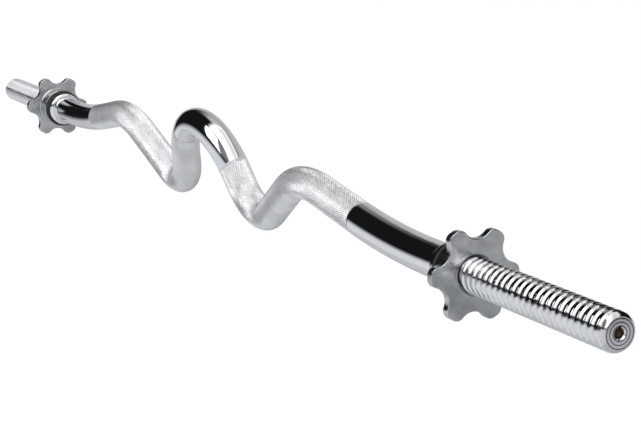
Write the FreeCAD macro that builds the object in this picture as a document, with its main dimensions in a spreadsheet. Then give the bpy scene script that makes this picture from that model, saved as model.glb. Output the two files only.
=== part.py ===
"""EZ curl bar: one bent rod with threaded sleeves, two stop collars and two star nuts with rubber rings.

Millimetres. X runs along the sleeves, Z is up and the origin is on the sleeves' axis, halfway along the bar.
The bar lies as it does on a flat floor: on both troughs of its W and on one lobe of each star nut.
"""
import math
import os

import FreeCAD, Part
import Sketcher

SIZES = {
    # Rod
    "overall_length": 1200.0,
    "bar_diameter": 25.0,
    # Bends of the grips, from the middle outwards: slopes in degrees from the sleeves' axis
    "centre_bend_radius": 64.6,
    "centre_slope": 64.3,
    "centre_straight": 9.4,
    "trough_bend_radius": 34.9,
    "grip_slope": 29.4,
    "grip_straight": 58.4,
    "crest_bend_radius": 93.6,
    "outer_slope": 10.7,
    "outer_straight": 48.9,
    "sleeve_bend_radius": 600.0,
    # Straight end of the shank, from the last bend to the stop collar. The sleeve is what is left
    "shank_straight": 24.0,
    # Sleeves: turned down, threaded and rounded off to the edge of the end face
    "thread_diameter": 24.4,
    "thread_pitch": 6.5,
    "thread_depth": 1.2,
    "thread_root_width": 1.2,
    "thread_flank": 37.0,
    "relief_width": 5.0,
    "relief_extra_depth": 0.3,
    "rim_length": 5.0,
    "rim_drop": 2.5,
    "centre_hole_diameter": 6.4,
    "centre_hole_depth": 10.0,
    "centre_hole_rim": 0.8,
    "drill_point": 1.9,
    # Stop collars, pressed on the rod against the sleeve's shoulder
    "collar_diameter": 32.2,
    "collar_width": 9.0,
    "collar_round": 3.2,
    "collar_chamfer": 0.5,
    # Rubber rings, loose on the noses of the nuts
    "ring_diameter": 36.6,
    "ring_width": 3.2,
    "ring_edge": 0.6,
    "ring_gap": 0.2,
    # Star nuts
    "nose_diameter": 30.0,
    "nose_width": 2.4,
    "hub_diameter": 36.8,
    "hub_width": 15.5,
    "hub_edge": 0.8,
    "star_tip_radius": 31.8,
    "star_valley_radius": 23.35,
    "star_width": 6.0,
    "scallop_radius": 10.5,
    "lobe_round": 5.5,
    "star_edge": 0.6,
    "bore_lead": 1.6,
    "thread_gap": 0.4,
    "flank_gap": 0.45,
    # How far each nut is turned from having a lobe at the crest side of the W
    "star_turn": 12.9,
}
LOBES = 6
# How far a cutter runs past the metal that it cuts
OVERRUN = 2.0

doc = FreeCAD.newDocument("ez_curl_bar")
sheet = doc.addObject("Spreadsheet::Sheet", "Sizes")
for row, (name, number) in enumerate(SIZES.items(), start=1):
    sheet.set(f"A{row}", name)
    sheet.set(f"B{row}", str(number))
    sheet.setAlias(f"B{row}", name)
doc.recompute()

# Places that several pieces share, as expressions of the sizes
HALF = "(Sizes.overall_length / 2)"
SEAT = "(bar_route.Constraints.last_bend_end / 1 mm + Sizes.shank_straight + Sizes.collar_width)"
ROD = "(Sizes.bar_diameter / 2)"
CREST = "(Sizes.thread_diameter / 2)"
ROOT = f"({CREST} - Sizes.thread_depth)"
RELIEF = f"({ROOT} - Sizes.relief_extra_depth)"
FACE_EDGE = f"({CREST} - Sizes.rim_drop)"
# Radius of the rim's round, which leaves the crest without a corner
RIM_RADIUS = "((Sizes.rim_length ^ 2 + Sizes.rim_drop ^ 2) / (2 * Sizes.rim_drop))"
THREAD_START = f"({SEAT} + Sizes.relief_width / 2)"
RING_AT = f"({SEAT} + Sizes.ring_gap)"
HUB_AT = f"({RING_AT} + Sizes.ring_width + Sizes.ring_gap)"
NUT_AT = f"({HUB_AT} - Sizes.nose_width)"
NUT_WIDTH = "(Sizes.nose_width + Sizes.hub_width + Sizes.star_width)"


def measure(expression):
    """The number that an expression of the sizes stands for."""
    return float(sheet.evalExpression(expression))


def new_body(name):
    body = doc.addObject("PartDesign::Body", name)
    body.Label = name
    return body


def origin_part(body, role):
    return next(feature for feature in body.Origin.OriginFeatures if feature.Role == role)


def new_sketch(body, role, name):
    sketch = body.newObject("Sketcher::SketchObject", name)
    sketch.AttachmentSupport = [(origin_part(body, role), "")]
    sketch.MapMode = "FlatFace"
    return sketch


def bind(sketch, kind, places, expression):
    """Adds one dimension to a sketch and ties it to an expression."""
    number = measure(expression)
    index = sketch.addConstraint(Sketcher.Constraint(kind, *places, number))
    sketch.setExpression(f"Constraints[{index}]", expression)


def place_point(sketch, curve, end, across, up):
    """Ties one end of a curve to its place, given as expressions from the sketch's origin."""
    for kind, axis, expression in (("DistanceX", -2, across), ("DistanceY", -1, up)):
        number = measure(expression)
        if expression == "0":
            sketch.addConstraint(Sketcher.Constraint("PointOnObject", curve, end, axis))
        elif number < 0:
            bind(sketch, kind, (curve, end, -1, 1), f"-({expression})")
        else:
            bind(sketch, kind, (-1, 1, curve, end), expression)


def draw_outline(sketch, points, rounds=None):
    """Draws a closed outline. rounds maps an edge's number to its radius, for a round that bulges out."""
    rounds = rounds or {}
    spots = [FreeCAD.Vector(measure(across), measure(up), 0) for across, up in points]
    middle = sum(spots, FreeCAD.Vector()) * (1 / len(spots))
    joins = []
    for number, start in enumerate(spots):
        finish = spots[(number + 1) % len(spots)]
        if number in rounds:
            radius = measure(rounds[number])
            chord = finish - start
            side = FreeCAD.Vector(-chord.y, chord.x, 0).normalize()
            halfway = (start + finish) * 0.5
            if side.dot(halfway - middle) < 0:
                side = -side
            top = halfway + side * (radius - math.sqrt(radius ** 2 - chord.Length ** 2 / 4))
            curve = sketch.addGeometry(Part.Arc(start, top, finish))
            begins = sketch.getPoint(curve, 1)
            forward = begins.distanceToPoint(start) < begins.distanceToPoint(finish)
            joins.append((curve, 1, 2) if forward else (curve, 2, 1))
            bind(sketch, "Radius", (curve,), rounds[number])
        else:
            joins.append((sketch.addGeometry(Part.LineSegment(start, finish)), 1, 2))
    for number, (curve, first, _) in enumerate(joins):
        before, _, last = joins[number - 1]
        sketch.addConstraint(Sketcher.Constraint("Coincident", before, last, curve, first))
        place_point(sketch, curve, first, *points[number])


def along(heading):
    """Unit vector at an angle in degrees from the sketch's X axis."""
    return FreeCAD.Vector(math.cos(math.radians(heading)), math.sin(math.radians(heading)), 0)


def draw_route(sketch):
    """Draws half of the rod's centre line, from the middle of the W outwards.

    It also names three places that others use: the apex's height, the height of the trough bend's centre, and
    where the last bend ends.
    """
    down = -measure("Sizes.centre_slope")
    up = measure("Sizes.grip_slope")
    out = -measure("Sizes.outer_slope")
    legs = [
        ("centre_bend_radius", 0, down), ("centre_straight", down, down),
        ("trough_bend_radius", down, up), ("grip_straight", up, up),
        ("crest_bend_radius", up, out), ("outer_straight", out, out),
        ("sleeve_bend_radius", out, 0),
    ]
    here = FreeCAD.Vector(0, 0, 0)
    steps = []
    for name, heading, after in legs:
        length = measure(f"Sizes.{name}")
        bend = math.copysign(1, after - heading)
        if heading == after:
            there = here + along(heading) * length
            centre = None
        else:
            centre = here + along(heading + 90) * (bend * length)
            there = centre + along(after - 90) * (bend * length)
        steps.append((name, heading, after, bend, here, there, centre))
        here = there
    rise = FreeCAD.Vector(0, -here.y, 0)
    ends = []
    for name, heading, after, bend, start, finish, centre in steps:
        if centre is None:
            line = sketch.addGeometry(Part.LineSegment(start + rise, finish + rise))
            bind(sketch, "Distance", (line,), f"Sizes.{name}")
            ends.append((line, 1, 2))
        else:
            circle = Part.Circle(centre + rise, FreeCAD.Vector(0, 0, 1), measure(f"Sizes.{name}"))
            first, last = (math.radians(angle - bend * 90) for angle in (heading, after))
            arc = sketch.addGeometry(Part.ArcOfCircle(circle, min(first, last), max(first, last)))
            bind(sketch, "Radius", (arc,), f"Sizes.{name}")
            ends.append((arc, 1, 2) if bend > 0 else (arc, 2, 1))
    sleeve = sketch.addGeometry(Part.LineSegment(here + rise, FreeCAD.Vector(measure(HALF), 0, 0)))
    ends.append((sleeve, 1, 2))
    for (before, _, last), (curve, first, _) in zip(ends, ends[1:]):
        sketch.addConstraint(Sketcher.Constraint("Tangent", before, last, curve, first))
    for number, name, sign in ((1, "centre_slope", "-"), (3, "grip_slope", ""), (5, "outer_slope", "-")):
        angle = math.radians(measure(f"{sign}Sizes.{name}"))
        index = sketch.addConstraint(Sketcher.Constraint("Angle", ends[number][0], angle))
        sketch.setExpression(f"Constraints[{index}]", f"{sign}Sizes.{name} * 1 deg")
    sketch.addConstraint(Sketcher.Constraint("PointOnObject", ends[0][0], ends[0][1], -2))
    sketch.addConstraint(Sketcher.Constraint("PointOnObject", ends[0][0], 3, -2))
    sketch.addConstraint(Sketcher.Constraint("PointOnObject", sleeve, 1, -1))
    place_point(sketch, sleeve, 2, HALF, "0")
    apex = sketch.addConstraint(Sketcher.Constraint("DistanceY", -1, 1, ends[0][0], ends[0][1], rise.y))
    sketch.setDriving(apex, False)
    sketch.renameConstraint(apex, "apex_height")
    trough_height = steps[2][6].y + rise.y
    trough = sketch.addConstraint(Sketcher.Constraint("DistanceY", -1, 1, ends[2][0], 3, trough_height))
    sketch.setDriving(trough, False)
    sketch.renameConstraint(trough, "trough_centre")
    last = sketch.addConstraint(Sketcher.Constraint("DistanceX", -1, 1, sleeve, 1, here.x))
    sketch.setDriving(last, False)
    sketch.renameConstraint(last, "last_bend_end")


def revolve(body, kind, sketch, name):
    feature = body.newObject(kind, name)
    feature.Profile = sketch
    feature.ReferenceAxis = (sketch, ["H_Axis"])
    feature.Angle = 360
    return feature


def cut_thread(body, sketch, name, length):
    """Cuts a right-hand helical groove along +X with the sketch's outline."""
    helix = body.newObject("PartDesign::SubtractiveHelix", name)
    helix.Profile = sketch
    helix.ReferenceAxis = (sketch, ["H_Axis"])
    helix.Mode = "pitch-height-angle"
    helix.setExpression("Pitch", "Sizes.thread_pitch")
    helix.setExpression("Height", length)
    helix.LeftHanded = False
    return helix


def make_bar():
    """The rod. Half of it is swept, turned, drilled and threaded, and a half turn about Z gives the other.

    A half turn keeps both threads right-handed, as a mirror would not.
    """
    body = new_body("bar")
    route = new_sketch(body, "XZ_Plane", "bar_route")
    draw_route(route)
    doc.recompute()
    section = new_sketch(body, "YZ_Plane", "bar_section")
    apex = "bar_route.Constraints.apex_height"
    circle = Part.Circle(FreeCAD.Vector(0, measure(apex), 0), FreeCAD.Vector(0, 0, 1), measure(ROD))
    rim = section.addGeometry(circle)
    bind(section, "Radius", (rim,), ROD)
    place_point(section, rim, 3, "0", apex)
    sweep = body.newObject("PartDesign::AdditivePipe", "bent_rod")
    sweep.Profile = section
    sweep.Spine = route
    doc.recompute()

    turning = new_sketch(body, "XZ_Plane", "sleeve_turning")
    beyond = f"({HALF} + {OVERRUN})"
    clear = f"({ROD} + {OVERRUN})"
    relief_end = f"({SEAT} + Sizes.relief_width)"
    draw_outline(turning, [
        (SEAT, clear), (SEAT, RELIEF), (relief_end, RELIEF), (relief_end, CREST),
        (f"({HALF} - Sizes.rim_length)", CREST), (HALF, FACE_EDGE), (beyond, FACE_EDGE), (beyond, clear),
    ], {4: RIM_RADIUS})
    revolve(body, "PartDesign::Groove", turning, "turned_sleeve")

    drilling = new_sketch(body, "XZ_Plane", "centre_drilling")
    hole = "(Sizes.centre_hole_diameter / 2)"
    bottom = f"({HALF} - Sizes.centre_hole_depth)"
    mouth = f"({hole} + Sizes.centre_hole_rim)"
    draw_outline(drilling, [
        (f"({bottom} - Sizes.drill_point)", "0"), (bottom, hole), (f"({HALF} - Sizes.centre_hole_rim)", hole),
        (HALF, mouth), (beyond, mouth), (beyond, "0"),
    ])
    revolve(body, "PartDesign::Groove", drilling, "centre_hole")

    cutter = new_sketch(body, "XZ_Plane", "thread_groove")
    low = "(Sizes.thread_root_width / 2)"
    high = f"({low} + (Sizes.thread_depth + {OVERRUN}) * tan(Sizes.thread_flank * 1 deg))"
    top = f"({CREST} + {OVERRUN})"
    draw_outline(cutter, [
        (f"({THREAD_START} - {low})", ROOT), (f"({THREAD_START} + {low})", ROOT),
        (f"({THREAD_START} + {high})", top), (f"({THREAD_START} - {high})", top),
    ])
    thread = cut_thread(body, cutter, "sleeve_thread", f"{HALF} - {SEAT} + Sizes.thread_pitch")
    doc.recompute()

    both = body.newObject("PartDesign::PolarPattern", "both_halves")
    both.TransformMode = "Whole shape"
    both.Originals = [thread]
    both.Axis = (origin_part(body, "Z_Axis"), [""])
    both.Angle = 360
    both.Occurrences = 2
    body.Tip = both
    doc.recompute()
    return body


def make_stop_collar(name):
    """A ring on the rod with a rounded inner edge. Its outer face, at the seat, stops the plates."""
    body = new_body(name)
    profile = new_sketch(body, "XZ_Plane", f"{name}_profile")
    outer = "(Sizes.collar_diameter / 2)"
    inner_face = f"({SEAT} - Sizes.collar_width)"
    draw_outline(profile, [
        (inner_face, ROD), (SEAT, ROD), (SEAT, f"({outer} - Sizes.collar_chamfer)"),
        (f"({SEAT} - Sizes.collar_chamfer)", outer), (f"({inner_face} + Sizes.collar_round)", outer),
        (inner_face, f"({outer} - Sizes.collar_round)"),
    ], {4: "Sizes.collar_round"})
    revolve(body, "PartDesign::Revolution", profile, f"{name}_turned")
    doc.recompute()
    return body


def make_rubber_ring(name):
    """A flat ring with rounded outer edges, loose on the nut's nose and a gap away from the collar."""
    body = new_body(name)
    profile = new_sketch(body, "XZ_Plane", f"{name}_profile")
    outer = "(Sizes.ring_diameter / 2)"
    bore = "(Sizes.nose_diameter / 2 + Sizes.ring_gap)"
    back = f"({RING_AT} + Sizes.ring_width)"
    draw_outline(profile, [
        (RING_AT, bore), (back, bore), (back, f"({outer} - Sizes.ring_edge)"),
        (f"({back} - Sizes.ring_edge)", outer), (f"({RING_AT} + Sizes.ring_edge)", outer),
        (RING_AT, f"({outer} - Sizes.ring_edge)"),
    ], {2: "Sizes.ring_edge", 4: "Sizes.ring_edge"})
    revolve(body, "PartDesign::Revolution", profile, f"{name}_moulded")
    doc.recompute()
    return body


def edge_names(shape, wanted):
    """Names of the edges that a test picks."""
    return [f"Edge{number}" for number, edge in enumerate(shape.Edges, start=1) if wanted(edge)]


def from_axis(point):
    return math.hypot(point.y, point.z)


def make_star_nut(name, turn):
    """Turns the nut's blank, scallops and rounds its star, then threads its bore to suit the sleeve.

    The nut's own origin is on its axis at the end of its nose. turn is how far it is turned on the sleeve.
    """
    body = new_body(name)
    bore = f"({ROOT} + Sizes.thread_gap)"
    nose = "(Sizes.nose_diameter / 2)"
    hub = "(Sizes.hub_diameter / 2)"
    hub_face = "Sizes.nose_width"
    star_back = f"({hub_face} + Sizes.hub_width)"
    blank = new_sketch(body, "XZ_Plane", f"{name}_profile")
    draw_outline(blank, [
        ("0", f"({bore} + Sizes.bore_lead)"), ("0", nose), (hub_face, nose),
        (hub_face, f"({hub} - Sizes.hub_edge)"),
        (f"({hub_face} + Sizes.hub_edge)", hub), (star_back, hub), (star_back, "Sizes.star_tip_radius"),
        (NUT_WIDTH, "Sizes.star_tip_radius"), (NUT_WIDTH, f"({bore} + Sizes.bore_lead)"),
        (f"({NUT_WIDTH} - Sizes.bore_lead)", bore), ("Sizes.bore_lead", bore),
    ], {3: "Sizes.hub_edge"})
    revolve(body, "PartDesign::Revolution", blank, f"{name}_blank")

    hollow = new_sketch(body, "YZ_Plane", f"{name}_hollow")
    reach = "(Sizes.star_valley_radius + Sizes.scallop_radius)"
    centre = FreeCAD.Vector(0, measure(reach), 0)
    circle = Part.Circle(centre, FreeCAD.Vector(0, 0, 1), measure("Sizes.scallop_radius"))
    arc = hollow.addGeometry(circle)
    bind(hollow, "Radius", (arc,), "Sizes.scallop_radius")
    place_point(hollow, arc, 3, "0", reach)
    scallop = body.newObject("PartDesign::Pocket", f"{name}_scallop")
    scallop.Profile = hollow
    scallop.Type = "ThroughAll"
    scallop.Reversed = True
    doc.recompute()
    scallops = body.newObject("PartDesign::PolarPattern", f"{name}_scallops")
    scallops.Originals = [scallop]
    scallops.Axis = (origin_part(body, "X_Axis"), [""])
    scallops.Angle = 360
    scallops.Occurrences = LOBES
    body.Tip = scallops
    doc.recompute()

    tip = measure("Sizes.star_tip_radius")
    back, front = measure(star_back), measure(NUT_WIDTH)

    def is_lobe_corner(edge):
        ends = [vertex.Point for vertex in edge.Vertexes]
        crosses = abs(ends[0].x - ends[-1].x) > (front - back) / 2
        return crosses and min(from_axis(end) for end in ends) > tip - 0.01

    lobes = body.newObject("PartDesign::Fillet", f"{name}_lobes")
    lobes.Base = (scallops, edge_names(scallops.Shape, is_lobe_corner))
    lobes.setExpression("Radius", "Sizes.lobe_round")
    doc.recompute()

    valley = measure("Sizes.star_valley_radius")

    def is_star_rim(edge):
        spots = [vertex.Point for vertex in edge.Vertexes] + [edge.CenterOfMass]
        flat = max(spot.x for spot in spots) - min(spot.x for spot in spots) < 0.01
        on_face = min(abs(spots[0].x - back), abs(spots[0].x - front)) < 0.01
        return flat and on_face and from_axis(spots[0]) > valley - 0.01

    rim = body.newObject("PartDesign::Chamfer", f"{name}_rim")
    rim.Base = (lobes, edge_names(lobes.Shape, is_star_rim))
    rim.setExpression("Size", "Sizes.star_edge")
    doc.recompute()

    cutter = new_sketch(body, "XZ_Plane", f"{name}_thread_groove")
    ridge = f"({THREAD_START} + Sizes.thread_pitch * (0.5 + {turn} / 360) - {NUT_AT})"
    start = f"(mod({ridge}; Sizes.thread_pitch) - 2 * Sizes.thread_pitch)"
    half_gap = "(Sizes.thread_pitch / 2 - Sizes.thread_root_width / 2 + Sizes.flank_gap)"
    slant = "tan(Sizes.thread_flank * 1 deg)"
    inside = f"({bore} - {OVERRUN})"
    outside = f"({CREST} + Sizes.thread_gap)"
    wide = f"({half_gap} - ({inside} - {ROOT}) * {slant})"
    slim = f"({half_gap} - ({outside} - {ROOT}) * {slant})"
    draw_outline(cutter, [
        (f"({start} - {wide})", inside), (f"({start} + {wide})", inside),
        (f"({start} + {slim})", outside), (f"({start} - {slim})", outside),
    ])
    cut_thread(body, cutter, f"{name}_thread", f"{NUT_WIDTH} + 4 * Sizes.thread_pitch")
    doc.recompute()
    return body


def rest_lean():
    """The angle from upright at which the W comes to rest, with troughs and lobes at one height.

    A trough reaches depth * cos(lean) + rod below the axis. The lobe next to it reaches
    centre * cos(lobe - lean) + corner, where centre and lobe place the middle of the lobe's rounded corner.
    """
    rod = measure(ROD)
    depth = measure("Sizes.trough_bend_radius") - measure("bar_route.Constraints.trough_centre")
    corner = measure("Sizes.lobe_round")
    centre = measure("Sizes.star_tip_radius") - corner
    scallop = measure("Sizes.scallop_radius")
    hollow = measure("Sizes.star_valley_radius") + scallop
    apart = math.acos((centre ** 2 + hollow ** 2 - (scallop + corner) ** 2) / (2 * centre * hollow))
    lobe = math.radians(measure("Sizes.star_turn") + 360 / LOBES) - (math.pi / LOBES - apart)
    along = depth - centre * math.cos(lobe)
    across = centre * math.sin(lobe)
    lean = math.acos((corner - rod) / math.hypot(along, across)) - math.atan2(across, along)
    return math.degrees(lean)


bar = make_bar()
lean = FreeCAD.Rotation(FreeCAD.Vector(1, 0, 0), -rest_lean())
facing = {"right": FreeCAD.Rotation(), "left": FreeCAD.Rotation(FreeCAD.Vector(0, 0, 1), 180)}
bar.Placement = FreeCAD.Placement(FreeCAD.Vector(), lean)
pieces = [bar]
for side, turned in facing.items():
    way_out = FreeCAD.Placement(FreeCAD.Vector(), lean * turned)
    collar = make_stop_collar(f"{side}_stop_collar")
    ring = make_rubber_ring(f"{side}_rubber_ring")
    collar.Placement = way_out
    ring.Placement = way_out
    # The nut's own Z axis runs through a scallop, half a step from a lobe
    sign = "" if side == "right" else "-"
    turn = f"({sign}Sizes.star_turn + {180 / LOBES})"
    nut = make_star_nut(f"{side}_star_nut", turn)
    spin = FreeCAD.Rotation(FreeCAD.Vector(1, 0, 0), measure(turn))
    nut.Placement = way_out * FreeCAD.Placement(FreeCAD.Vector(measure(NUT_AT), 0, 0), spin)
    pieces += [collar, ring, nut]
doc.recompute()

for item in doc.Objects:
    if "Invalid" in item.State or "Error" in item.State:
        raise RuntimeError(f"{item.Name} failed: {item.State}")
    if item.TypeId in ("PartDesign::Groove", "PartDesign::Pocket", "PartDesign::SubtractiveHelix"):
        if item.Shape.Volume > item.BaseFeature.Shape.Volume - 1:
            raise RuntimeError(f"{item.Name} cuts nothing")
os.makedirs("parts", exist_ok=True)
for piece in pieces:
    shape = piece.Shape
    if shape.isNull() or not shape.isValid() or len(shape.Solids) != 1:
        raise RuntimeError(f"{piece.Label} is not one valid solid")
    shape.exportStep(f"parts/{piece.Label}.step")
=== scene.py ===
"""Curl bar bent to a W, lying on a pale floor and seen from its right end."""
import math

import bpy
import numpy as np
from mathutils import Matrix, Quaternion, Vector


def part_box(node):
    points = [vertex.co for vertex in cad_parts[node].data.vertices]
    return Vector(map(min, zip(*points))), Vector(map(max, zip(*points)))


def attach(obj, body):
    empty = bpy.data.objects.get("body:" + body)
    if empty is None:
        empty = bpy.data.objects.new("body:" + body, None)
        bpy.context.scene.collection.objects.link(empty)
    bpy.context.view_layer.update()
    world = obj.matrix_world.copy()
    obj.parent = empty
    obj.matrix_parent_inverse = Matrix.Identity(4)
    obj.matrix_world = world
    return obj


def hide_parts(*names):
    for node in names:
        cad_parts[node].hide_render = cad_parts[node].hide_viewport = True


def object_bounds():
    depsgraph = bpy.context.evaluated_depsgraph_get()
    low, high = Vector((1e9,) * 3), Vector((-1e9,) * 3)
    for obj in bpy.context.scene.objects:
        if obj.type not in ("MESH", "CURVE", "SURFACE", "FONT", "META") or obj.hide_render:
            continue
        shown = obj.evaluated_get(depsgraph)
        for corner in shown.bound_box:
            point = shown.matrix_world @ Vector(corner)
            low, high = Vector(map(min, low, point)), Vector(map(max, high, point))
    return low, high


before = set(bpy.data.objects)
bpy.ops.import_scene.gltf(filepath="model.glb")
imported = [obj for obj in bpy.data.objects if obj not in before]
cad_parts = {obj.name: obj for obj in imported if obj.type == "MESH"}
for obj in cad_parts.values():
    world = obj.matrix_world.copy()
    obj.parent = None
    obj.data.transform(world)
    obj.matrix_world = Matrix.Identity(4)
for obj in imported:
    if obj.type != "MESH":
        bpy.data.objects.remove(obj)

cad_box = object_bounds()

# The rod
# One round steel rod, cold-bent to a W and chrome plated. The middle and the shanks are polished smooth.
# It lies on its troughs, so the plane of the W leans back from upright.
rod_radius = 0.0125
bend_radii = dict(centre=0.0646, trough=0.0349, crest=0.0936, sleeve=0.600)
straights = dict(centre=0.0094, grip=0.0584, outer=0.0489)
slopes = dict(centre=math.radians(64.3), grip=math.radians(29.4), outer=math.radians(10.7))
half_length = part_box("bar")[1][0]
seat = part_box("right_stop_collar")[1][0]
curve_step = 0.0001


def rod_stations():
    """Arc length and heading at each end of each bend, from the middle of the W to the end of the sleeve.

    A straight keeps its heading and a bend turns steadily: its length is its radius times its turn.
    """
    down, up, out = -slopes["centre"], slopes["grip"], -slopes["outer"]
    legs = [
        (bend_radii["centre"] * -down, down), (straights["centre"], down),
        (bend_radii["trough"] * (up - down), up), (straights["grip"], up),
        (bend_radii["crest"] * (up - out), out), (straights["outer"], out),
        (bend_radii["sleeve"] * -out, 0.0), (half_length, 0.0),
    ]
    lengths = np.cumsum([0.0] + [length for length, _ in legs])
    return lengths, np.array([0.0] + [heading for _, heading in legs])


def rod_curve():
    """Fine table of the half centre line: arc length, x, height in the W's plane and heading.

    x and height are the running sums of the cosine and sine of the heading. Height ends at 0 on the sleeve.
    """
    lengths, headings = rod_stations()
    along = np.arange(0.0, lengths[-1], curve_step)
    heading = np.interp(along, lengths, headings)
    middle = (heading[1:] + heading[:-1]) / 2
    x = np.concatenate([[0.0], np.cumsum(np.cos(middle))]) * curve_step
    height = np.concatenate([[0.0], np.cumsum(np.sin(middle))]) * curve_step
    return along, x, height - height[-1], heading


curve_along, curve_x, curve_height, curve_heading = rod_curve()
lean = math.acos((-cad_box[0][2] - rod_radius) / -curve_height.min())


def lean_back(points):
    """Turns points from the upright W about X by the lean: y takes height times its sine."""
    x, y, z = points[..., 0], points[..., 1], points[..., 2]
    sine, cosine = math.sin(lean), math.cos(lean)
    return np.stack([x, y * cosine + z * sine, z * cosine - y * sine], axis=-1)


def along_at(x):
    """Arc length at which the centre line reaches x."""
    return float(np.interp(x, curve_x, curve_along))


def rod_skin(along, angle, radius):
    """Surface round the rod: the centre line plus radius times (cos angle * normal - sin angle * Y).

    along runs from one end of the stretch to the other and is negative on the left half.
    """
    side = np.sign(along)
    reach = np.abs(along)
    x = side * np.interp(reach, curve_along, curve_x)
    height = np.interp(reach, curve_along, curve_height)
    heading = side * np.interp(reach, curve_along, curve_heading)
    out = radius * np.cos(angle)
    across = -radius * np.sin(angle)
    return lean_back(np.stack([x - out * np.sin(heading), across, height + out * np.cos(heading)], axis=-1))


def new_piece(name, points, faces, smooth):
    """An object at the origin whose mesh has these points and faces, shaded smooth or flat."""
    mesh = bpy.data.meshes.new(name)
    mesh.from_pydata(points, [], faces)
    mesh.polygons.foreach_set("use_smooth", np.full(len(mesh.polygons), smooth))
    mesh.update()
    piece = bpy.data.objects.new(name, mesh)
    bpy.context.scene.collection.objects.link(piece)
    return piece


def skin_mesh(name, rows, cut_from=None):
    """Mesh of a grid of points whose columns go round a closed ring. Each end closes on its own middle point.

    cut_from gives a grid of true and false. Each square is then cut into two flat faces, from its first
    corner to its third where that corner is true, and otherwise from its second to its fourth.
    """
    count, across = rows.shape[:2]
    spot = np.arange(count * across).reshape(count, across)
    after = np.roll(spot, -1, axis=1)
    faces = np.stack([spot[:-1], after[:-1], after[1:], spot[1:]], axis=-1).reshape(-1, 4)
    if cut_from is not None:
        true_here = cut_from[:-1].reshape(-1, 1)
        faces = np.concatenate([
            np.where(true_here, faces[:, [0, 1, 2]], faces[:, [0, 1, 3]]),
            np.where(true_here, faces[:, [0, 2, 3]], faces[:, [1, 2, 3]]),
        ])
    first, last = count * across, count * across + 1
    caps = np.concatenate([
        np.stack([np.full(across, first), after[0], spot[0]], axis=-1),
        np.stack([np.full(across, last), spot[-1], after[-1]], axis=-1),
    ])
    points = np.concatenate([rows.reshape(-1, 3), rows[[0, -1]].mean(axis=1)])
    return new_piece(name, points, faces.tolist() + caps.tolist(), smooth=cut_from is None)


def between(tree, value, start, finish, low=0.0, high=1.0, eased=False):
    """Adds a node that takes a value from start and finish to low and high, straight or eased.

    Before start and past finish the result stays at low and high.
    """
    ramp = tree.nodes.new("ShaderNodeMapRange")
    if eased:
        ramp.interpolation_type = "SMOOTHSTEP"
    for name, number in (("From Min", start), ("From Max", finish), ("To Min", low), ("To Max", high)):
        ramp.inputs[name].default_value = number
    tree.links.new(value, ramp.inputs["Value"])
    return ramp.outputs["Result"]


def mixed(tree, share, first, second):
    """Adds a node that mixes two colours by a share. A colour is three numbers or another node's colour."""
    mix = tree.nodes.new("ShaderNodeMix")
    mix.data_type = "RGBA"
    tree.links.new(share, mix.inputs["Factor"])
    for name, colour in (("A", first), ("B", second)):
        if isinstance(colour, tuple):
            mix.inputs[name].default_value = (*colour, 1.0)
        else:
            tree.links.new(colour, mix.inputs[name])
    return mix.outputs["Result"]


def noise(tree, place, detail):
    """Adds a noise texture at a place, and gives its node."""
    cloud = tree.nodes.new("ShaderNodeTexNoise")
    cloud.inputs["Detail"].default_value = detail
    tree.links.new(place, cloud.inputs["Vector"])
    return cloud


def new_finish(name):
    """A new material, with its node tree and its shader."""
    material = bpy.data.materials.new(name)
    material.use_nodes = True
    return material, material.node_tree, material.node_tree.nodes["Principled BSDF"]


smudge_edges = (0.35, 0.75)
scratch_stretch = (1.0, 0.06, 0.06)
mark_scales = {"Smudge": 60.0, "Scratch": 900.0, "Lumps": 190.0}


def wear_group():
    """Shader group for handled metal, from Object coordinates: smudges, fine scratches and lumps as masks.

    Smudges are soft clouds of noise, scratches are noise drawn out across the bar, and lumps plain noise.
    """
    group = bpy.data.node_groups.new("handled_metal", "ShaderNodeTree")
    for name, scale in mark_scales.items():
        socket = group.interface.new_socket(f"{name} Scale", in_out="INPUT", socket_type="NodeSocketFloat")
        socket.default_value = scale
        group.interface.new_socket(name, in_out="OUTPUT", socket_type="NodeSocketFloat")
    enter = group.nodes.new("NodeGroupInput")
    leave = group.nodes.new("NodeGroupOutput")
    place = group.nodes.new("ShaderNodeTexCoord").outputs["Object"]
    stretch = group.nodes.new("ShaderNodeMapping")
    stretch.inputs["Scale"].default_value = scratch_stretch
    group.links.new(place, stretch.inputs["Vector"])
    clouds = dict(
        Smudge=noise(group, place, detail=4.0),
        Scratch=noise(group, stretch.outputs["Vector"], detail=2.0),
        Lumps=noise(group, place, detail=3.0),
    )
    for name, cloud in clouds.items():
        group.links.new(enter.outputs[f"{name} Scale"], cloud.inputs["Scale"])
    group.links.new(between(group, clouds["Smudge"].outputs["Fac"], *smudge_edges), leave.inputs["Smudge"])
    group.links.new(clouds["Scratch"].outputs["Fac"], leave.inputs["Scratch"])
    group.links.new(clouds["Lumps"].outputs["Fac"], leave.inputs["Lumps"])
    return group


handled_metal = wear_group()


def worn_metal(name, smooth_rough, worn_rough, smudge_scale=mark_scales["Smudge"]):
    """A metal whose roughness rises with its smudges: the material, its tree, its shader and its marks."""
    material, tree, shader = new_finish(name)
    shader.inputs["Metallic"].default_value = 1.0
    marks = tree.nodes.new("ShaderNodeGroup")
    marks.node_tree = handled_metal
    marks.inputs["Smudge Scale"].default_value = smudge_scale
    rough = between(tree, marks.outputs["Smudge"], 0.0, 1.0, smooth_rough, worn_rough)
    tree.links.new(rough, shader.inputs["Roughness"])
    return material, tree, shader, marks.outputs


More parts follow.
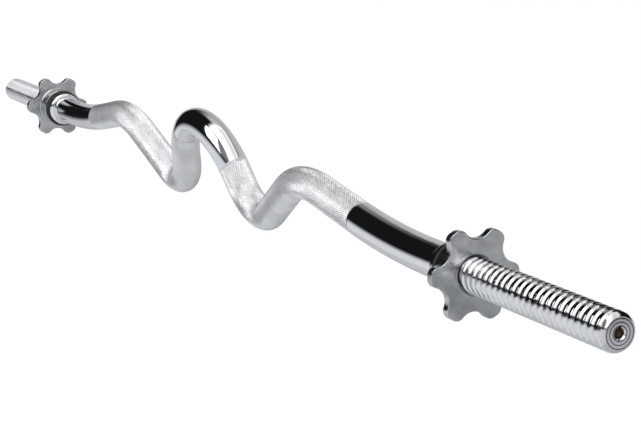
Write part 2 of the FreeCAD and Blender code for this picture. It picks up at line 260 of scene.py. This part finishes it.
def plated(name, bright, dull, smooth_rough, worn_rough, scratch_height, lump_height=0.0):
    """Chrome plate: colour and roughness run from bright to dull with the smudges.

    Scratches are a bump, over a second bump of lumps where the metal under the plate is uneven.
    """
    material, tree, shader, marks = worn_metal(name, smooth_rough, worn_rough)
    tree.links.new(mixed(tree, marks["Smudge"], bright, dull), shader.inputs["Base Color"])
    bump = tree.nodes.new("ShaderNodeBump")
    bump.inputs["Distance"].default_value = scratch_height
    tree.links.new(marks["Scratch"], bump.inputs["Height"])
    tree.links.new(bump.outputs["Normal"], shader.inputs["Normal"])
    if lump_height:
        swell = tree.nodes.new("ShaderNodeBump")
        swell.inputs["Distance"].default_value = lump_height
        tree.links.new(marks["Lumps"], swell.inputs["Height"])
        tree.links.new(swell.outputs["Normal"], bump.inputs["Normal"])
    return material


polished_chrome = plated(
    "polished_chrome", bright=(0.86, 0.87, 0.89), dull=(0.80, 0.81, 0.84),
    smooth_rough=0.045, worn_rough=0.10, scratch_height=0.000002,
)
knurl_starts = 48
tooth_points = 4
knurl_length = 2 * math.pi * rod_radius / knurl_starts * math.sqrt(3)
knurl_inner_x = dict(right=0.0545, left=0.037)
knurl_outer_x = 0.286
knurl_from = {side: along_at(x) for side, x in knurl_inner_x.items()}
knurl_to = along_at(knurl_outer_x)
shank_end = along_at(seat)
around = np.linspace(0.0, 2 * math.pi, tooth_points * knurl_starts, endpoint=False)
saw_reach = 0.36
saw_edge = np.tile([1.0, 0.5, 0.0, 0.5], knurl_starts) * saw_reach * knurl_length


def smooth_stretch(name, start, finish, saw_start, saw_finish, step=0.002):
    """A smooth stretch of rod from one arc length to another, in rows a step apart.

    An end against a knurl is a saw edge, cut back where a row of the knurl's teeth runs out.
    """
    along = np.linspace(start, finish, int(abs(finish - start) / step) + 2)[:, None] + 0 * around
    along[0] += saw_edge * saw_start
    along[-1] -= saw_edge * saw_finish
    rows = rod_skin(along, around[None, :], np.full(along.shape, rod_radius))
    piece = skin_mesh(name, rows)
    piece.data.materials.append(polished_chrome)
    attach(piece, "bar")
    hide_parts("bar")


smooth_stretch("rod_middle", -knurl_from["left"], knurl_from["right"], saw_start=True, saw_finish=True)
smooth_stretch("right_shank", knurl_to, shank_end, saw_start=True, saw_finish=False)
smooth_stretch("left_shank", -shank_end, -knurl_to, saw_start=False, saw_finish=True)

# Knurled grips
# The slanted grips are rolled with a diamond knurl before plating: two sets of crossed grooves round the rod.
# The roller starts and stops square, which leaves a sharp saw edge against the polished rod.
knurl_depth = 0.00048
knurl_flat = 0.75
knurl_stray = 0.06
knurl_seed = 7

satin_chrome = plated(
    "satin_chrome", bright=(0.93, 0.93, 0.94), dull=(0.74, 0.74, 0.75),
    smooth_rough=0.28, worn_rough=0.38, scratch_height=0.000004,
)


def groove_ways(row, column):
    """How far a place is from an even number, by the sum and by the difference of its half steps."""
    ways = np.stack([np.add.outer(row, column), np.subtract.outer(row, column)]) / 2
    return np.abs(ways - 2 * np.round(ways / 2))


def knurled_stretch(name, start, finish):
    """Knurled rod: a grid of points, four to a tooth both ways, that follows a field of flat-topped diamonds.

    The two sets of grooves lie where the sum and the difference of the half steps along and round are odd.
    The height is one less the farther of the two from an even number, cut off at the flat. Each square of the
    grid is cut along its groove. The points stray a little, as rolled and plated teeth do, and the end rows
    are saw edges.
    """
    rows = int(round(abs(finish - start) / knurl_length)) * tooth_points + 1
    columns = len(around)
    stray = np.random.default_rng(knurl_seed).uniform(-knurl_stray, knurl_stray, (3, rows, columns))
    stray[:, [0, -1]] = 0.0
    along = np.linspace(start, finish, rows)[:, None] + stray[0] * knurl_length / tooth_points
    along[0] -= saw_edge
    along[-1] += saw_edge
    angle = (np.arange(columns)[None, :] + stray[1]) * 2 * math.pi / columns
    height = 1 - groove_ways(np.arange(rows), np.arange(columns)).max(axis=0)
    height = np.minimum(height, knurl_flat) / knurl_flat
    radius = rod_radius - knurl_depth * (1 - height + np.abs(stray[2]))
    radius[[0, -1]] = rod_radius
    by_sum, by_difference = groove_ways(np.arange(rows) + 0.5, np.arange(columns) + 0.5)
    piece = skin_mesh(name, rod_skin(along, angle, radius), cut_from=by_difference > by_sum)
    piece.data.materials.append(satin_chrome)
    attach(piece, "bar")
    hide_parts("bar")


knurled_stretch("right_knurl", knurl_from["right"], knurl_to)
knurled_stretch("left_knurl", -knurl_to, -knurl_from["left"])

# Threaded sleeves
# Each end is turned down and rolled with a coarse right-hand thread with broad round crests, for the nut.
# The end is rounded over, faced in a lathe and centre drilled.
thread_crest = 0.0122
thread_depth = 0.0012
thread_pitch = 0.0065
root_half = 0.0003
flank_width = 0.0013
crest_crown = 0.00007
seam_at = 0.0024
seam_half = 0.0004
seam_depth = 0.00004
relief_width = 0.005
relief_run = 0.0012
relief_step = 0.0003
relief_radius = thread_crest - thread_depth - relief_step
rim_length = 0.005
rim_drop = 0.0025
rim_radius = (rim_length ** 2 + rim_drop ** 2) / (2 * rim_drop)
face_radius = thread_crest - rim_drop
face_rows = 40
face_ring_pitch = 0.0022
face_ring_first = 0.0045
face_ring_depth = 0.00008
hole_radius = 0.0032
hole_depth = 0.010
hole_rim = 0.0008
hole_tip_radius = 0.0004
hole_tip_length = 0.0019
rows_per_pitch = 32
thread_columns = 96
thread_around = np.linspace(0.0, 2 * math.pi, thread_columns, endpoint=False)
thread_part, face_part, hole_part = range(3)


def smooth_step(share):
    """Eases a share that runs from 0 to 1: three times its square less twice its cube."""
    return share * share * (3 - 2 * share)


def sleeve_radius(x, angle):
    """Radius of the sleeve at x, from the thread or, nearer the ends, the relief and the rounded rim.

    The groove's middle moves by one pitch for each turn. Its flanks are smooth steps of the distance from its
    middle, from the root up to the crest, so that root and crest are both broad with round corners. The crest
    rises a little to its middle, and a shallow smooth fold from the rolling runs along each side of it.
    """
    middle = seat + relief_width / 2 + thread_pitch * angle / (2 * math.pi)
    away = np.abs((x - middle + thread_pitch / 2) % thread_pitch - thread_pitch / 2)
    flank = np.clip((away - root_half) / flank_width, 0, 1)
    seam = np.clip(1 - np.abs(away - seam_at) / seam_half, 0, 1)
    crown = crest_crown * np.clip(2 * away / (thread_pitch / 2) - 1, 0, 1)
    groove = (thread_depth - crest_crown) * (1 - smooth_step(flank))
    thread = thread_crest - crest_crown + crown - groove - seam_depth * smooth_step(seam)
    rise = np.clip((x - seat - relief_width + relief_run / 2) / relief_run, 0, 1)
    relieved = relief_radius + (thread_crest - relief_radius) * smooth_step(rise)
    past = np.clip(x - half_length + rim_length, 0, rim_length)
    rounded = thread_crest - rim_radius + np.sqrt(rim_radius ** 2 - past ** 2)
    return np.minimum(np.minimum(thread, relieved), rounded)


def sleeve_rows():
    """Rows of the right sleeve: along the thread, over the rim, across the turned end face and down the hole.

    The end face has shallow rings, a cosine of the radius, where the tool faced it. Also gives the part that
    each row of faces belongs to: the plated thread and rims, the turned end face or the drilled hole.
    """
    x = np.linspace(seat, half_length, int((half_length - seat) / thread_pitch * rows_per_pitch))[:, None]
    angle = thread_around[None, :]
    radius = sleeve_radius(x, angle)
    tool = np.linspace(face_radius, hole_radius + hole_rim, face_rows + 2)[1:-1, None]
    wave = np.cos(2 * math.pi * (tool - face_ring_first) / face_ring_pitch)
    rings = half_length - face_ring_depth * (1 + wave) / 2
    inner = np.array([hole_radius + hole_rim, hole_radius, hole_radius, hole_tip_radius])[:, None]
    depth = half_length - np.array([0.0, hole_rim, hole_depth, hole_depth + hole_tip_length])[:, None]
    parts = np.repeat(
        [thread_part, face_part, thread_part, hole_part], [len(x) - 1, len(rings) + 1, 1, len(depth) - 2])
    x = np.concatenate([x, rings, depth]) + 0 * angle
    radius = np.concatenate([radius, np.minimum(tool, radius[-1:]), inner + 0 * angle])
    return lean_back(np.stack([x, -radius * np.sin(angle), radius * np.cos(angle)], axis=-1)), parts


def arithmetic(tree, operation, *values):
    """Adds a Math node. Each value is a number or another node's value."""
    node = tree.nodes.new("ShaderNodeMath")
    node.operation = operation
    for socket, value in zip(node.inputs, values):
        if isinstance(value, float):
            socket.default_value = value
        else:
            tree.links.new(value, socket)
    return node.outputs["Value"]


def vector_step(tree, operation, vector, other=None):
    """Adds a Vector Math node for a vector and, where the operation has one, a second vector of numbers."""
    node = tree.nodes.new("ShaderNodeVectorMath")
    node.operation = operation
    tree.links.new(vector, node.inputs[0])
    if other is not None:
        node.inputs[1].default_value = other
    return node.outputs["Value" if operation in ("LENGTH", "DOT_PRODUCT") else "Vector"]


def axis_group():
    """Shader group: the distance from the sleeves' axis, the length of the Object coordinates without x."""
    group = bpy.data.node_groups.new("axis_distance", "ShaderNodeTree")
    group.interface.new_socket("Distance", in_out="OUTPUT", socket_type="NodeSocketFloat")
    leave = group.nodes.new("NodeGroupOutput")
    place = group.nodes.new("ShaderNodeTexCoord").outputs["Object"]
    across = vector_step(group, "MULTIPLY", place, (0.0, 1.0, 1.0))
    group.links.new(vector_step(group, "LENGTH", across), leave.inputs["Distance"])
    return group


axis_distance = axis_group()


def from_axis(tree):
    """Places the distance from the sleeves' axis in a material."""
    node = tree.nodes.new("ShaderNodeGroup")
    node.node_tree = axis_distance
    return node.outputs["Distance"]


faced_bright = (0.73, 0.74, 0.76)
faced_dark = (0.10, 0.10, 0.11)
faced_ring_edges = (0.2, 1.0)


def faced_steel():
    """Bare steel off the lathe: colour goes dark in rings, a wave of the distance from the sleeve's axis."""
    material, tree, shader, _ = worn_metal("faced_steel", smooth_rough=0.22, worn_rough=0.38)
    per_metre = 2 * math.pi / face_ring_pitch
    turns = arithmetic(tree, "MULTIPLY_ADD", from_axis(tree), per_metre, -per_metre * face_ring_first)
    ring = between(tree, arithmetic(tree, "COSINE", turns), *faced_ring_edges)
    tree.links.new(mixed(tree, ring, faced_bright, faced_dark), shader.inputs["Base Color"])
    return material


oily_brown = (0.34, 0.27, 0.22)
dry_brown = (0.78, 0.70, 0.63)


def drilled_hole():
    """Oily brown skin inside the centre hole: two browns mixed by fine smudges, with patchy gloss."""
    material, tree, shader, marks = worn_metal(
        "drilled_hole", smooth_rough=0.25, worn_rough=0.45, smudge_scale=400.0)
    tree.links.new(mixed(tree, marks["Smudge"], oily_brown, dry_brown), shader.inputs["Base Color"])
    return material


# Painted shade: the thread's colour goes grey low in the groove.
groove_shade_grey = (0.70, 0.70, 0.71)
groove_shade_from = 0.55


def thread_plate():
    """Chrome on the thread, with painted shade low in the groove: grey by the distance from the axis."""
    material = plated(
        "thread_chrome", bright=(0.86, 0.87, 0.89), dull=(0.78, 0.79, 0.82),
        smooth_rough=0.06, worn_rough=0.13, scratch_height=0.000003, lump_height=0.00030,
    )
    tree = material.node_tree
    colour = tree.nodes["Principled BSDF"].inputs["Base Color"]
    unshaded_colour = colour.links[0].from_socket
    # Painted shade in the groove's root, by the distance from the axis.
    low = between(
        tree, from_axis(tree), thread_crest - thread_depth * groove_shade_from, thread_crest - thread_depth)
    tree.links.new(mixed(tree, low, unshaded_colour, groove_shade_grey), colour)
    return material


half_turn = np.array([-1.0, -1.0, 1.0])


def upright(points):
    """The opposite of lean_back: from the floor's frame to the W's own."""
    x, y, z = points[..., 0], points[..., 1], points[..., 2]
    sine, cosine = math.sin(lean), math.cos(lean)
    return np.stack([x, y * cosine - z * sine, z * cosine + y * sine], axis=-1)


def on_both_ends(rows):
    """A right-hand piece and the same piece after a half turn about the W's own height axis, for the left."""
    return {"right": rows, "left": lean_back(upright(rows) * half_turn)}


def sharpen(piece, degrees):
    """Marks edges where the faces turn by more than this as sharp, so that flats stay flat."""
    piece.data.set_sharp_from_angle(angle=math.radians(degrees))


sleeve_finishes = [thread_plate(), faced_steel(), drilled_hole()]
sleeve_points, sleeve_parts = sleeve_rows()
face_parts = np.repeat(np.concatenate([sleeve_parts, [thread_part, hole_part]]), thread_columns)
for side, rows in on_both_ends(sleeve_points).items():
    sleeve = skin_mesh(f"{side}_sleeve", rows)
    sharpen(sleeve, 30)
    for finish in sleeve_finishes:
        sleeve.data.materials.append(finish)
    sleeve.data.polygons.foreach_set("material_index", face_parts)
    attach(sleeve, "bar")
    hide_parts("bar")

# Stop collars
# A turned steel ring pressed on the shank where the thread ends, plated with the rod.
# Weight plates stand against it.
collar_radius = 0.0161
collar_width = 0.009
collar_round = 0.0032
collar_edge = 0.0005
collar_clear = 0.00002
collar_bore = rod_radius + collar_clear


def quarter(x, radius, size, start, finish, steps=8):
    """Points of a round: x and radius of its centre plus size times (cos, sin) of angles in degrees."""
    turn = np.radians(np.linspace(start, finish, steps))
    return np.stack([x + size * np.cos(turn), radius + size * np.sin(turn)], axis=-1)


def turned(profile, columns=144):
    """Surface of revolution: each (x, radius) of the profile is carried round the X axis."""
    angle = np.linspace(0.0, 2 * math.pi, columns, endpoint=False)[None, :]
    x = profile[:, :1] + 0 * angle
    return lean_back(np.stack([x, -profile[:, 1:] * np.sin(angle), profile[:, 1:] * np.cos(angle)], axis=-1))


def ring_mesh(name, rows):
    """Smooth mesh of a grid that closes on itself both ways, like a tyre."""
    count, across = rows.shape[:2]
    spot = np.arange(count * across).reshape(count, across)
    after = np.roll(spot, -1, axis=1)
    next_spot, next_after = np.roll(spot, -1, axis=0), np.roll(after, -1, axis=0)
    faces = np.stack([spot, after, next_after, next_spot], axis=-1).reshape(-1, 4)
    return new_piece(name, rows.reshape(-1, 3), faces.tolist(), smooth=True)


collar_from = seat - collar_width
collar_profile = np.concatenate([
    [[collar_from, collar_bore]],
    quarter(collar_from + collar_round, collar_radius - collar_round, collar_round, 180, 90, steps=14),
    quarter(seat - collar_edge, collar_radius - collar_edge, collar_edge, 90, 0, steps=6),
    [[seat, collar_bore]],
])
for side, rows in on_both_ends(turned(collar_profile)).items():
    collar = ring_mesh(f"{side}_collar", rows)
    sharpen(collar, 40)
    collar.data.materials.append(polished_chrome)
    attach(collar, "bar")
    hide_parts(f"{side}_stop_collar")

# Rubber rings
# A moulded black rubber ring sits on the nose of each nut and grips the plate.
# The mould leaves a fine flash line round it.
ring_radius = 0.0183
ring_bore = 0.0152
ring_width = 0.0032
ring_edge = 0.0006
ring_gap = 0.0002
ring_from = seat + ring_gap
ring_to = ring_from + ring_width
flash_at = (ring_from + ring_to) / 2
flash_half = 0.0002
flash_height = 0.0001
rubber_black = (0.012, 0.012, 0.013)
rubber_dusty = (0.035, 0.035, 0.037)


def rubber():
    """Matt black rubber: a fine grain as bump, and a dusty bloom that lifts colour and roughness."""
    material, tree, shader = new_finish("black_rubber")
    place = tree.nodes.new("ShaderNodeTexCoord").outputs["Object"]
    bloom = noise(tree, place, detail=5.0)
    bloom.inputs["Scale"].default_value = 140.0
    dust = bloom.outputs["Fac"]
    tree.links.new(mixed(tree, dust, rubber_black, rubber_dusty), shader.inputs["Base Color"])
    tree.links.new(between(tree, dust, 0.0, 1.0, low=0.45, high=0.7), shader.inputs["Roughness"])
    grain = noise(tree, place, detail=2.0)
    grain.inputs["Scale"].default_value = 2500.0
    bump = tree.nodes.new("ShaderNodeBump")
    bump.inputs["Distance"].default_value = 0.00004
    tree.links.new(grain.outputs["Fac"], bump.inputs["Height"])
    tree.links.new(bump.outputs["Normal"], shader.inputs["Normal"])
    return material


black_rubber = rubber()
ring_profile = np.concatenate([
    [[ring_from, ring_bore]],
    quarter(ring_from + ring_edge, ring_radius - ring_edge, ring_edge, 180, 90),
    [[flash_at - flash_half, ring_radius], [flash_at, ring_radius + flash_height]],
    [[flash_at + flash_half, ring_radius]],
    quarter(ring_to - ring_edge, ring_radius - ring_edge, ring_edge, 90, 0),
    [[ring_to, ring_bore]],
])
for side, rows in on_both_ends(turned(ring_profile)).items():
    ring = ring_mesh(f"{side}_ring", rows)
    sharpen(ring, 40)
    ring.data.materials.append(black_rubber)
    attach(ring, f"{side}_ring")
    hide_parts(f"{side}_rubber_ring")

# Star nuts
# One cast steel piece each: a round hub, and at its outer end a flat star with six lobes for the fingers.
# The star's edges are rounded in the mould, and the whole is plated satin. The real bore is threaded. It is
# plain here, because the sleeve hides it.
star_lobes = 6
tip_radius = 0.0318
valley_radius = 0.02335
scallop_radius = 0.0105
lobe_round = 0.0055
star_width = 0.006
star_edge = 0.0006
star_turn = math.radians(12.9)
arc_points = 12
hub_radius = 0.0184
hub_width = 0.0155
hub_edge = 0.0008
hub_fillet = 0.0012
nose_radius = 0.015
nose_width = 0.0024
nose_edge = 0.0004
thread_play = 0.0003
nut_bore = thread_crest + thread_play
bore_lead = 0.0011
lead_edge = dict(along=0.0003, across=0.0002)
hub_from = ring_to + ring_gap
nose_from = hub_from - nose_width
star_from = hub_from + hub_width
star_to = star_from + star_width


def star_outline():
    """Points and outward normals of the star's outline, as two arrays.

    One twelfth of the outline is three arcs: the lobe's tip about the axis, the lobe's rounded corner, and
    the scallop about its own centre. The corner's centre is tip radius less its own round from the axis, and
    that round plus the scallop's radius from the scallop's centre. The twelfth is mirrored and turned for the
    rest.
    """
    corner_at = tip_radius - lobe_round
    hollow_at = valley_radius + scallop_radius
    reach = scallop_radius + lobe_round
    apart = math.acos((corner_at ** 2 + hollow_at ** 2 - reach ** 2) / (2 * corner_at * hollow_at))
    step = math.pi / star_lobes
    corner = corner_at * np.array([math.cos(step - apart), math.sin(step - apart)])
    hollow = hollow_at * np.array([math.cos(step), math.sin(step)])
    facing = math.atan2(*(hollow - corner)[::-1])
    tip = np.linspace(0.0, step - apart, arc_points, endpoint=False)
    bend = np.linspace(step - apart, facing, arc_points, endpoint=False)
    dip = np.linspace(facing + math.pi, step + math.pi, arc_points)
    points = np.concatenate([
        tip_radius * np.stack([np.cos(tip), np.sin(tip)], axis=-1),
        corner + lobe_round * np.stack([np.cos(bend), np.sin(bend)], axis=-1),
        hollow + scallop_radius * np.stack([np.cos(dip), np.sin(dip)], axis=-1),
    ])
    normal_angle = np.concatenate([tip, bend, dip - math.pi])
    normals = np.stack([np.cos(normal_angle), np.sin(normal_angle)], axis=-1)
    flip = np.array([1.0, -1.0])
    lobe_points = np.concatenate([(points[1:] * flip)[::-1], points[:-1]])
    lobe_normals = np.concatenate([(normals[1:] * flip)[::-1], normals[:-1]])
    turns = np.arange(star_lobes) * 2 * step
    spin = np.stack([np.cos(turns), np.sin(turns), -np.sin(turns), np.cos(turns)], axis=-1).reshape(-1, 2, 2)
    return (lobe_points @ spin).reshape(-1, 2), (lobe_normals @ spin).reshape(-1, 2)


def nut_rows(turn):
    """Rows of a star nut, from the bore's inner end over the nose, hub and star and back through the bore.

    On the hub and in the bore a row is a circle. On the star it is the outline moved in along its normals, so
    the edges are true quarter rounds. The flat faces run straight between the two.
    """
    outline, normals = star_outline()
    bearing = np.arctan2(outline[:, 1], outline[:, 0])
    circle = np.stack([np.cos(bearing), np.sin(bearing)], axis=-1)
    round_rows = np.concatenate([
        [[nose_from, nut_bore + bore_lead], [nose_from, nose_radius - nose_edge]],
        [[nose_from + nose_edge, nose_radius], [hub_from, nose_radius]],
        quarter(hub_from + hub_edge, hub_radius - hub_edge, hub_edge, 180, 90),
        quarter(star_from - hub_fillet, hub_radius + hub_fillet, hub_fillet, 270, 360),
    ])
    star_rows = np.concatenate([
        quarter(star_from + star_edge, -star_edge, star_edge, 180, 90),
        quarter(star_to - star_edge, -star_edge, star_edge, 90, 0),
    ])
    bore_rows = np.array([
        [star_to, nut_bore + bore_lead],
        [star_to - lead_edge["along"], nut_bore + bore_lead - lead_edge["across"]],
        [star_to - bore_lead, nut_bore],
        [nose_from + bore_lead, nut_bore],
    ])
    hub = round_rows[:, 1, None, None] * circle
    star = outline + star_rows[:, 1, None, None] * normals
    bore = bore_rows[:, 1, None, None] * circle
    flat = np.concatenate([hub, star, bore])
    x = np.concatenate([round_rows[:, 0], star_rows[:, 0], bore_rows[:, 0]])[:, None] + 0 * bearing
    sine, cosine = math.sin(turn), math.cos(turn)
    up = flat[..., 0] * cosine - flat[..., 1] * sine
    across = flat[..., 0] * sine + flat[..., 1] * cosine
    return lean_back(np.stack([x, -across, up], axis=-1))


cast_chrome = plated(
    "cast_chrome", bright=(0.68, 0.69, 0.70), dull=(0.34, 0.345, 0.355),
    smooth_rough=0.13, worn_rough=0.25, scratch_height=0.000006, lump_height=0.00025,
)
nuts = dict(
    right=on_both_ends(nut_rows(star_turn))["right"],
    left=on_both_ends(nut_rows(-star_turn))["left"],
)
for side, rows in nuts.items():
    nut = ring_mesh(f"{side}_nut", rows)
    sharpen(nut, 35)
    nut.data.materials.append(cast_chrome)
    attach(nut, f"{side}_nut")
    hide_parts(f"{side}_star_nut")

# Floor
# The bar lies on a wide sheet of white paper, painted greyer to the back and paler to the front as shade and
# light.
# One corner is cut back behind the right half, so that polished metal mirrors the dark room there.
floor_height = cad_box[0][2]
floor_corners = [
    (-12.0, -12.0), (12.0, -12.0), (12.0, -3.0), (0.74, -0.01), (0.28, 0.11), (-0.2, 0.8), (-12.0, 12.0),
]
# Paper tints: painted shade towards the back and painted light towards the front, both seen in the metal.
paper_middle = (0.63, 0.65, 0.67)
paper_back_painted_shade = (0.39, 0.385, 0.38)
paper_front_painted_light = (0.76, 0.78, 0.80)
back_edge = (-0.10, 0.35)
front_edge = (-0.10, -0.80)
paper_glow = 1.035
white_to_camera = 0.95
white_to_metal = 0.12


def shader_mix(tree, share, first, second):
    """Mixes two shaders by a share and makes that the material's surface."""
    blend = tree.nodes.new("ShaderNodeMixShader")
    tree.links.new(share, blend.inputs["Fac"])
    tree.links.new(first, blend.inputs[1])
    tree.links.new(second, blend.inputs[2])
    tree.links.new(blend.outputs["Shader"], tree.nodes["Material Output"].inputs["Surface"])


def floor_finish():
    """White paper: the camera sees mostly plain white, metal sees some, and lit paper keeps the shadow."""
    material, tree, shader = new_finish("white_paper")
    shader.inputs["Roughness"].default_value = 0.9
    shader.inputs["Specular IOR Level"].default_value = 0.1
    place = tree.nodes.new("ShaderNodeTexCoord").outputs["Object"]
    parts = tree.nodes.new("ShaderNodeSeparateXYZ")
    tree.links.new(place, parts.inputs["Vector"])
    # Painted shade to the back and painted light to the front, eased by y.
    tint = mixed(tree, between(tree, parts.outputs["Y"], *back_edge, eased=True), paper_middle, paper_back_painted_shade)
    tint = mixed(tree, between(tree, parts.outputs["Y"], *front_edge, eased=True), tint, paper_front_painted_light)
    tree.links.new(tint, shader.inputs["Base Color"])
    glow = tree.nodes.new("ShaderNodeEmission")
    glow.inputs["Strength"].default_value = paper_glow
    rays = tree.nodes.new("ShaderNodeLightPath")
    seen = arithmetic(tree, "MULTIPLY", rays.outputs["Is Camera Ray"], white_to_camera)
    share = arithmetic(tree, "MULTIPLY_ADD", rays.outputs["Is Glossy Ray"], white_to_metal, seen)
    shader_mix(tree, share, shader.outputs["BSDF"], glow.outputs["Emission"])
    return material


def stage_sheet(name, corners, material):
    """A flat sheet of the stage, with these corners in turn."""
    sheet = new_piece(name, corners, [range(len(corners))], smooth=False)
    sheet.data.materials.append(material)


stage_sheet("floor", [(x, y, floor_height) for x, y in floor_corners], floor_finish())

# Overhead soft box
# A flat white panel hangs over the left half of the bar and shows as bright highlights in the chrome.
# It fades at its edges, as cloth over a lamp does, and the camera sees through it.
panel_height = 1.05
panel_middle = (-0.205, 0.185)
panel_half = (0.315, 0.355)
panel_fade = (1.0, 0.86)
box_strength = 2.35


def box_front():
    """White cloth front: its glow fades by the farther of the shares of the half sizes from its middle."""
    material, tree, _ = new_finish("box_front")
    place = tree.nodes.new("ShaderNodeTexCoord").outputs["Object"]
    from_middle = vector_step(tree, "SUBTRACT", place, (*panel_middle, 0.0))
    shares = vector_step(tree, "DIVIDE", from_middle, (*panel_half, 1.0))
    parts = tree.nodes.new("ShaderNodeSeparateXYZ")
    tree.links.new(vector_step(tree, "ABSOLUTE", shares), parts.inputs["Vector"])
    farther = arithmetic(tree, "MAXIMUM", parts.outputs["X"], parts.outputs["Y"])
    glow = tree.nodes.new("ShaderNodeEmission")
    fade = between(tree, farther, *panel_fade, high=box_strength, eased=True)
    tree.links.new(fade, glow.inputs["Strength"])
    clear = tree.nodes.new("ShaderNodeBsdfTransparent")
    rays = tree.nodes.new("ShaderNodeLightPath")
    shader_mix(tree, rays.outputs["Is Camera Ray"], glow.outputs["Emission"], clear.outputs["BSDF"])
    return material


panel_corners = [
    (panel_middle[0] + across * panel_half[0], panel_middle[1] + deep * panel_half[1], panel_height)
    for across, deep in ((-1, -1), (-1, 1), (1, 1), (1, -1))
]
stage_sheet("overhead_box", panel_corners, box_front())

# Room
# The rest of the studio, which only the metal shows: a dark room with a soft box and a low bench at the back
# and a pale wall at the front. The camera sees plain white instead.
room_black = (0.008, 0.008, 0.009)
plain_white = (1.0, 1.0, 1.0)
bench_brown = (0.54, 0.53, 0.51)
bench_way = (0.182, 0.545, -0.818)
bench_edge = (-0.12, 0.12)
bench_x = (-0.97, -0.50)
bench_z = (-0.15, 0.0)
clear_of_wall = (-0.115, 0.908, 0.4035)
clear_edge = (0.18, 0.34)
gap_grey = (0.23, 0.23, 0.235)
gap_z = (0.84, 0.90)
box_white = (box_strength, box_strength, box_strength)
box_x = (-0.42, -0.16)
box_top = (0.88, 0.82)
box_bottom = (-0.04, 0.14)
foot_grey = (0.86, 0.86, 0.86)
foot_top = (0.54, 0.42)
wall_pale = (0.74, 0.76, 0.78)
wall_away = (-0.115, 0.908, 0.1335)
wall_edge = (-0.07, -0.27)


def room():
    """The room as a world of plain shapes: black, with a bench, a grey gap, a soft box and a pale wall.

    Each edge is a smooth step of x, z or the direction's dot product with a way through the room. A shape is
    the product of its edges' steps, and each shape is laid over the ones before it. The gap is the grey above
    the box, and the box's foot is dimmer.
    """
    world = bpy.data.worlds.new("studio")
    bpy.context.scene.world = world
    world.use_nodes = True
    tree = world.node_tree
    direction = tree.nodes.new("ShaderNodeTexCoord").outputs["Generated"]
    parts = tree.nodes.new("ShaderNodeSeparateXYZ")
    tree.links.new(direction, parts.inputs["Vector"])
    x, z = parts.outputs["X"], parts.outputs["Z"]

    def past(source, edge):
        """A share that goes from 0 to 1 across an edge."""
        return between(tree, source, *edge, eased=True)

    def towards(way):
        """The direction's dot product with a way."""
        return vector_step(tree, "DOT_PRODUCT", direction, way)

    def product(first, *others):
        """The product of some shares."""
        for other in others:
            first = arithmetic(tree, "MULTIPLY", first, other)
        return first

    off_wall = past(towards(clear_of_wall), clear_edge)
    bench = product(past(towards(bench_way), bench_edge), past(x, bench_x), past(z, bench_z))
    gap = product(past(z, gap_z), off_wall)
    back_box = product(past(x, box_x), past(z, box_top), past(z, box_bottom), off_wall)
    foot = product(back_box, past(z, foot_top))
    wall = past(towards(wall_away), wall_edge)
    rays = tree.nodes.new("ShaderNodeLightPath")
    tone = room_black
    for share, colour in (
        (bench, bench_brown), (gap, gap_grey), (back_box, box_white), (foot, foot_grey), (wall, wall_pale),
        (rays.outputs["Is Camera Ray"], plain_white),
    ):
        tone = mixed(tree, share, tone, colour)
    tree.links.new(tone, tree.nodes["Background"].inputs["Color"])


room()

# Camera
# It looks along the bar from beyond its right end, and is rolled so that the bar runs across the picture.
# A long lens, a metre from the near end, shows that end about twice as large as the far one.
camera_at = Vector((1.4039, -0.0495, 0.6139))
aim = Vector((0.2203, -0.0062, 0.0))
roll = math.radians(-62.9)
camera_data = bpy.data.cameras.new("camera")
camera_data.sensor_width = 36.0
camera_data.lens = 102.0
camera = bpy.data.objects.new("camera", camera_data)
bpy.context.scene.collection.objects.link(camera)
facing = (aim - camera_at).to_track_quat("-Z", "Y") @ Quaternion((0.0, 0.0, 1.0), roll)
camera.matrix_world = Matrix.Translation(camera_at) @ facing.to_matrix().to_4x4()
bpy.context.scene.camera = camera
bpy.context.scene.view_settings.view_transform = "Standard"
